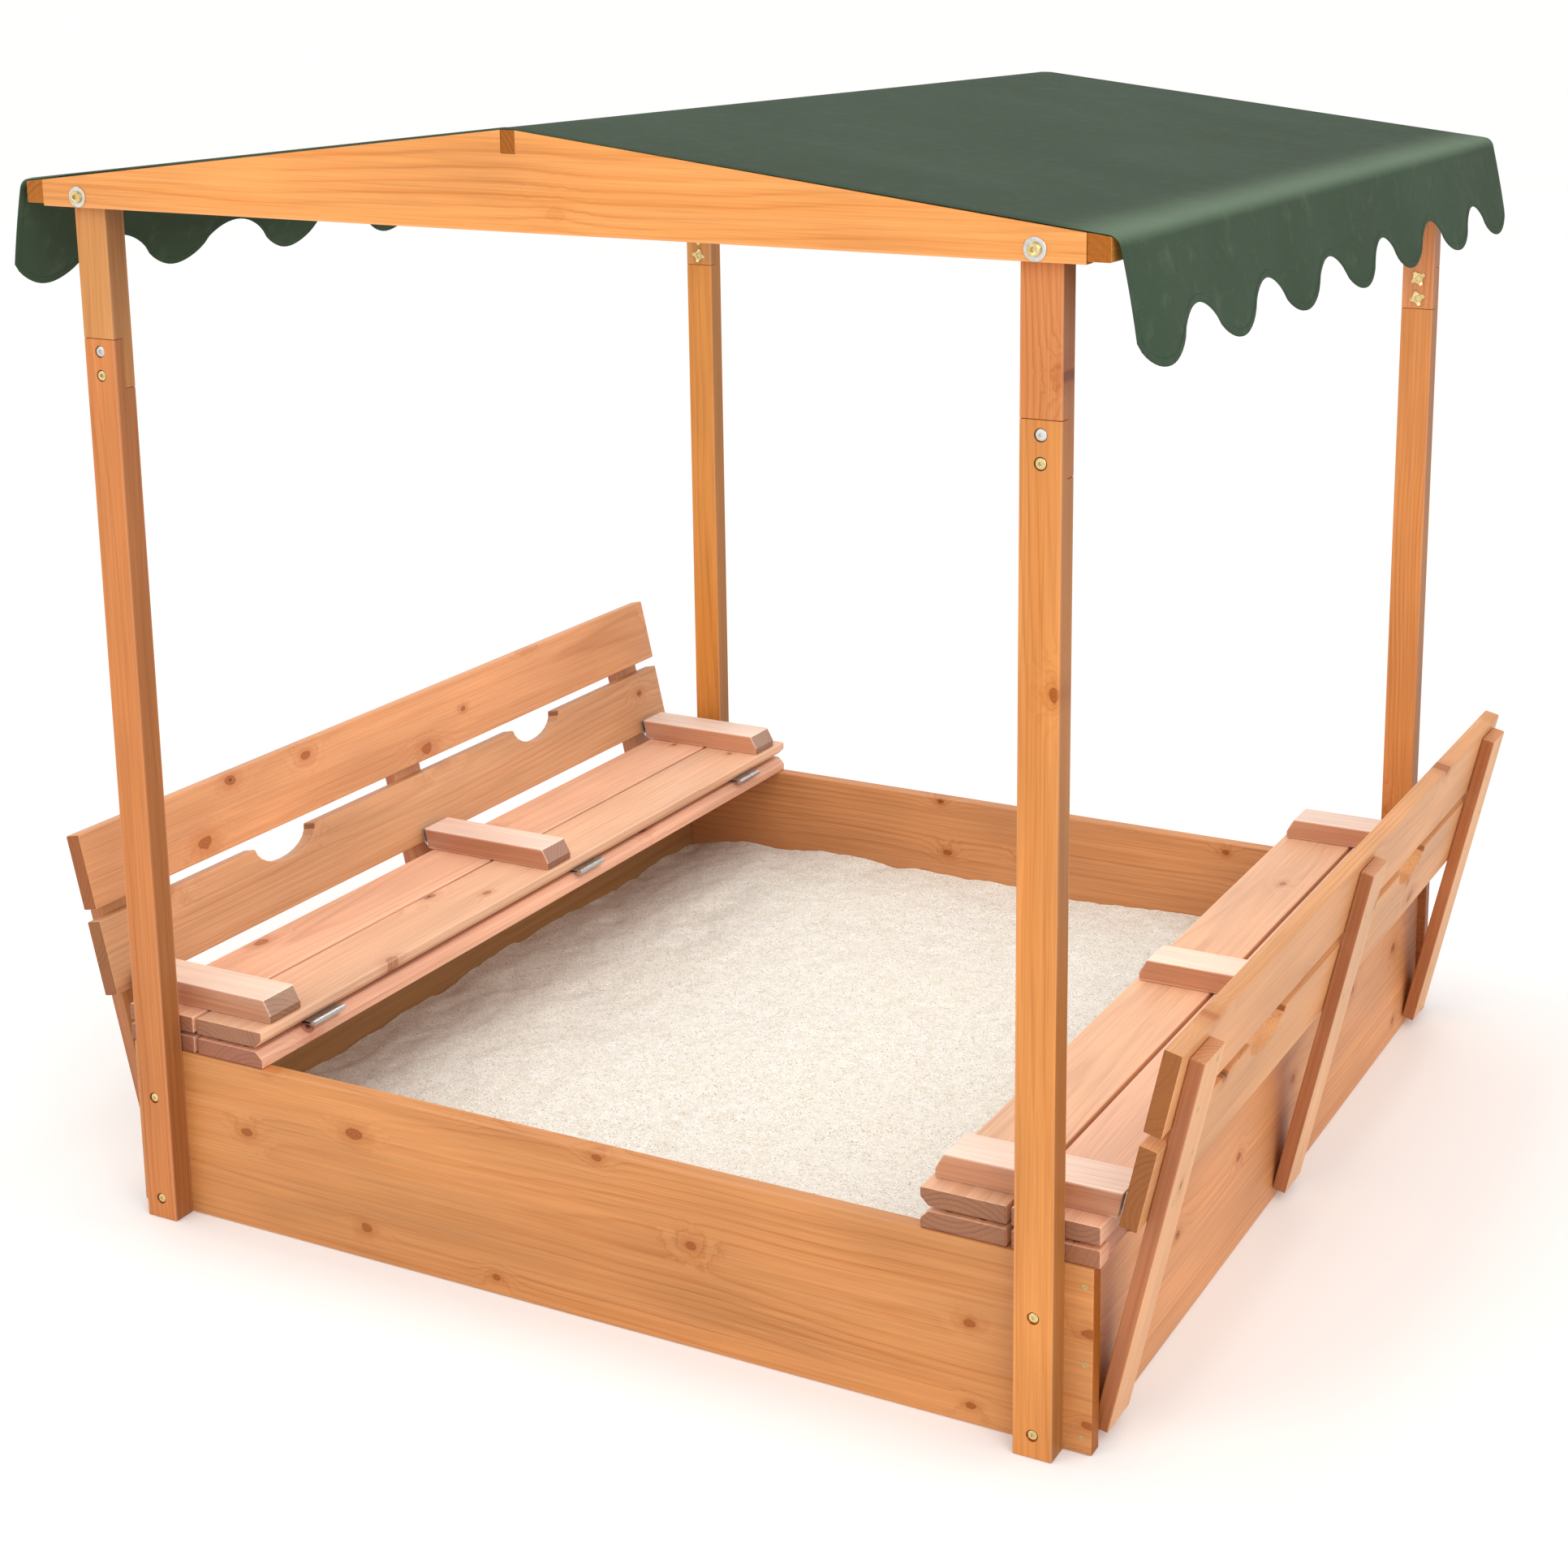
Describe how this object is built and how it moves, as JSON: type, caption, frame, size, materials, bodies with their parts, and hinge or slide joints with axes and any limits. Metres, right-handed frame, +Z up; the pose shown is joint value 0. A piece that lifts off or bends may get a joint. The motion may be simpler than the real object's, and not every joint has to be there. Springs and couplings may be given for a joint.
{
  "type": "sandbox with cover",
  "caption": "Square wooden sandbox with a fabric roof on posts and a lid that folds out into facing benches with backrests.",
  "frame": {"origin": "on the ground under the middle of the box", "axes": "+X along the front wall to the right-hand bench, +Y from the front wall to the back wall, +Z up"},
  "size_m": [1.3718, 1.2652, 1.2433],
  "materials": {
    "wall_wood": "oiled, honey brown pine",
    "post_wood": "oiled, orange pine",
    "roof_wood": "oiled, golden pine",
    "bench_wood": "stained, pale pinkish pine",
    "canopy_fabric": "coated, satin, dark green grey",
    "zinc_steel": "zinc plated",
    "sand": "loose pale play sand"
  },
  "bodies": {
    "frame": {"front_wall": "wall_wood", "back_wall": "wall_wood", "left_wall": "wall_wood", "right_wall": "wall_wood", "sand_fill": "sand", "front_left_post_lower": "post_wood", "front_left_post_upper": "post_wood", "front_right_post_lower": "post_wood", "front_right_post_upper": "post_wood", "back_left_post_lower": "post_wood", "back_left_post_upper": "post_wood", "back_right_post_lower": "post_wood", "back_right_post_upper": "post_wood", "front_gable": "roof_wood", "back_gable": "roof_wood", "ridge_beam": "roof_wood", "left_eave_beam": "roof_wood", "right_eave_beam": "roof_wood", "canopy": "canopy_fabric", "left_base_board_inner": "bench_wood", "left_base_board_outer": "bench_wood", "left_seat_hinge_front": "zinc_steel", "left_seat_hinge_middle": "zinc_steel", "left_seat_hinge_back": "zinc_steel", "right_base_board_inner": "bench_wood", "right_base_board_outer": "bench_wood", "right_seat_hinge_front": "zinc_steel", "right_seat_hinge_middle": "zinc_steel", "right_seat_hinge_back": "zinc_steel"},
    "left_seat": {"left_seat_board_inner": "bench_wood", "left_seat_board_outer": "bench_wood", "left_seat_batten_front": "bench_wood", "left_backrest_hinge_front": "zinc_steel", "left_seat_batten_middle": "bench_wood", "left_backrest_hinge_middle": "zinc_steel", "left_seat_batten_back": "bench_wood", "left_backrest_hinge_back": "zinc_steel"},
    "right_seat": {"right_seat_board_inner": "bench_wood", "right_seat_board_outer": "bench_wood", "right_seat_batten_front": "bench_wood", "right_backrest_hinge_front": "zinc_steel", "right_seat_batten_middle": "bench_wood", "right_backrest_hinge_middle": "zinc_steel", "right_seat_batten_back": "bench_wood", "right_backrest_hinge_back": "zinc_steel"},
    "left_backrest": {"left_backrest_brace_front": "bench_wood", "left_backrest_brace_middle": "bench_wood", "left_backrest_brace_back": "bench_wood", "left_backrest_board_lower": "bench_wood", "left_backrest_board_upper": "bench_wood"},
    "right_backrest": {"right_backrest_brace_front": "bench_wood", "right_backrest_brace_middle": "bench_wood", "right_backrest_brace_back": "bench_wood", "right_backrest_board_lower": "bench_wood", "right_backrest_board_upper": "bench_wood"}
  },
  "joints": [
    {"name": "left_seat_fold", "type": "hinge", "parent": "frame", "child": "left_seat", "pos_m": [-0.404, 0, 0.2175], "axis": [0, 1, 0], "range_deg": [0, 180]},
    {"name": "left_backrest_fold", "type": "hinge", "parent": "left_seat", "child": "left_backrest", "pos_m": [-0.6069, 0, 0.2435], "axis": [0, 1, 0], "range_deg": [-77.3, 0]},
    {"name": "right_seat_fold", "type": "hinge", "parent": "frame", "child": "right_seat", "pos_m": [0.404, 0, 0.2175], "axis": [0, -1, 0], "range_deg": [0, 180]},
    {"name": "right_backrest_fold", "type": "hinge", "parent": "right_seat", "child": "right_backrest", "pos_m": [0.6069, 0, 0.2435], "axis": [0, -1, 0], "range_deg": [-77.3, 0]}
  ],
  "couplings": [
    {"joint": "left_backrest_fold", "follows": "left_seat_fold", "ratio": -0.42944},
    {"joint": "right_backrest_fold", "follows": "right_seat_fold", "ratio": -0.42944}
  ]
}
